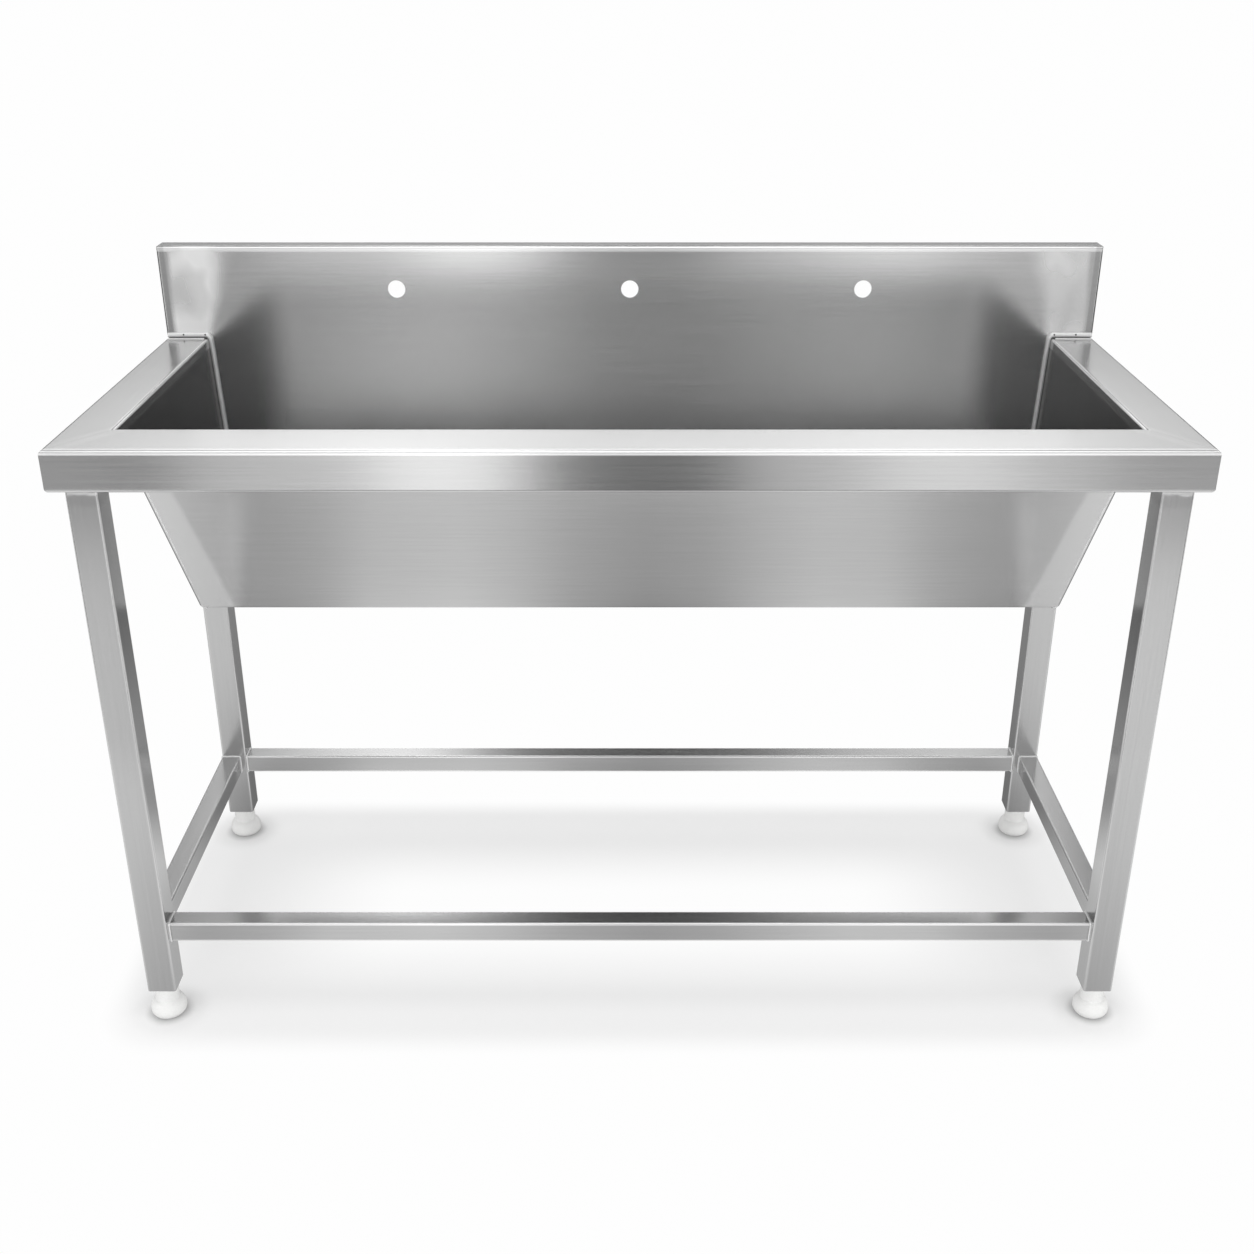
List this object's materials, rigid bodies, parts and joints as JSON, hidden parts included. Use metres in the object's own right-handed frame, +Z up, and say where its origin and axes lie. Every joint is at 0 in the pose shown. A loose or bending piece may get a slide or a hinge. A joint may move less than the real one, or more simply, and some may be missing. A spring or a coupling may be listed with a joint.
{
  "type": "trough sink",
  "caption": "Free-standing stainless steel wash trough with a sloping front wall, high splashback with bare tap holes, square-tube stand with lower rails, and adjustable feet.",
  "frame": {"origin": "bottom centre of the whole object, on the floor under its four feet", "axes": "+X along the trough to the right of a person standing in front, +Y from the front to the splashback, +Z up"},
  "size_m": [1.4, 0.584, 0.991],
  "materials": {
    "brushed_sheet": "brushed stainless steel, with the grain along each folded face",
    "foot_nylon": "white moulded nylon, glossy",
    "plug_nylon": "off-white moulded nylon",
    "stud_steel": "zinc-plated threaded stud",
    "waste_steel": "polished stainless steel",
    "seal_rubber": "black rubber washer"
  },
  "bodies": {
    "stand": {"front_rim": "brushed_sheet", "left_rim": "brushed_sheet", "right_rim": "brushed_sheet", "splashback": "brushed_sheet", "rear_stiffener": "brushed_sheet", "trough_front_and_floor": "brushed_sheet", "trough_left_end": "brushed_sheet", "trough_right_end": "brushed_sheet", "plate_front_left": "brushed_sheet", "plate_front_right": "brushed_sheet", "plate_rear_left": "brushed_sheet", "plate_rear_right": "brushed_sheet", "leg_front_left": "brushed_sheet", "leg_front_right": "brushed_sheet", "leg_rear_left": "brushed_sheet", "leg_rear_right": "brushed_sheet", "rail_front": "brushed_sheet", "rail_rear": "brushed_sheet", "rail_left": "brushed_sheet", "rail_right": "brushed_sheet", "plug_front_left": "plug_nylon", "plug_front_right": "plug_nylon", "plug_rear_left": "plug_nylon", "plug_rear_right": "plug_nylon", "waste_body": "waste_steel", "waste_gasket_top": "seal_rubber", "waste_gasket_under": "seal_rubber", "waste_nut": "waste_steel", "waste_grid": "waste_steel", "waste_screw": "waste_steel"},
    "adjuster_front_left": {"foot_front_left": "foot_nylon", "stud_front_left": "stud_steel"},
    "adjuster_front_right": {"foot_front_right": "foot_nylon", "stud_front_right": "stud_steel"},
    "adjuster_rear_left": {"foot_rear_left": "foot_nylon", "stud_rear_left": "stud_steel"},
    "adjuster_rear_right": {"foot_rear_right": "foot_nylon", "stud_rear_right": "stud_steel"}
  },
  "joints": [
    {"name": "wind_front_left", "type": "slide", "parent": "stand", "child": "adjuster_front_left", "axis": [0, 0, -1], "range_m": [0, 0.025]},
    {"name": "wind_front_right", "type": "slide", "parent": "stand", "child": "adjuster_front_right", "axis": [0, 0, -1], "range_m": [0, 0.025]},
    {"name": "wind_rear_left", "type": "slide", "parent": "stand", "child": "adjuster_rear_left", "axis": [0, 0, -1], "range_m": [0, 0.025]},
    {"name": "wind_rear_right", "type": "slide", "parent": "stand", "child": "adjuster_rear_right", "axis": [0, 0, -1], "range_m": [0, 0.025]}
  ]
}
